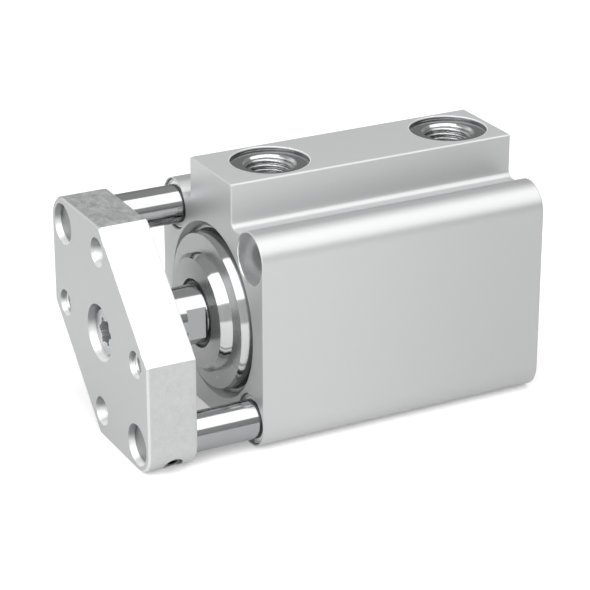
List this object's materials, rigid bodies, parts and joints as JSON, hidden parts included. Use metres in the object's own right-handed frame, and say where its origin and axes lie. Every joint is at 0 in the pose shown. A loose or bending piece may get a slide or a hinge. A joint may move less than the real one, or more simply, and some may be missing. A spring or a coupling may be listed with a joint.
{
  "type": "short-stroke cylinder",
  "caption": "Square compact pneumatic cylinder with a port rail on top and a guide plate on its piston rod, kept from turning by guide rods.",
  "frame": {"origin": "centre of the housing's rear face, on the cylinder axis", "axes": "+X along the cylinder axis, the way the rod comes out; +Z towards the port rail; +Y towards the side that the picture shows"},
  "size_m": [0.088, 0.045, 0.0522],
  "materials": {
    "anodised_aluminium": "extruded, clear anodised, satin",
    "milled_aluminium": "milled faces and raw extruded edges, satin",
    "turned_aluminium": "fine turned",
    "hard_chrome": "ground and polished",
    "bush_steel": "plain, smooth",
    "spring_steel": "phosphated, dark",
    "zinc_plated_steel": "bright plated",
    "black_steel": "blackened",
    "magnet_compound": "bonded magnet, dull",
    "band_plastic": "bearing plastic",
    "bumper_elastomer": "cast elastomer",
    "seal_rubber": "moulded, smooth"
  },
  "bodies": {
    "cylinder_body": {"housing": "anodised_aluminium", "front_cover": "turned_aluminium", "front_cover_o_ring": "seal_rubber", "front_retaining_ring": "spring_steel", "front_bumper": "bumper_elastomer", "rod_bush": "bush_steel", "rod_seal": "seal_rubber", "rod_wiper": "seal_rubber", "rear_cover": "turned_aluminium", "rear_cover_o_ring": "seal_rubber", "rear_retaining_ring": "spring_steel", "rear_bumper": "bumper_elastomer", "upper_guide_bush": "bush_steel", "lower_guide_bush": "bush_steel", "upper_guide_wiper": "seal_rubber", "lower_guide_wiper": "seal_rubber"},
    "rod_and_plate": {"piston": "turned_aluminium", "piston_o_ring": "seal_rubber", "rear_piston_seal": "seal_rubber", "front_piston_seal": "seal_rubber", "magnet_ring": "magnet_compound", "piston_guide_band": "band_plastic", "piston_screw": "zinc_plated_steel", "piston_rod": "hard_chrome", "guide_plate": "milled_aluminium", "plate_screw": "zinc_plated_steel", "upper_guide_rod": "hard_chrome", "lower_guide_rod": "hard_chrome", "rod_clamp_screws": "black_steel"}
  },
  "joints": [
    {"name": "rod_extend", "type": "slide", "parent": "cylinder_body", "child": "rod_and_plate", "axis": [1, 0, 0], "range_m": [0, 0.025]}
  ]
}
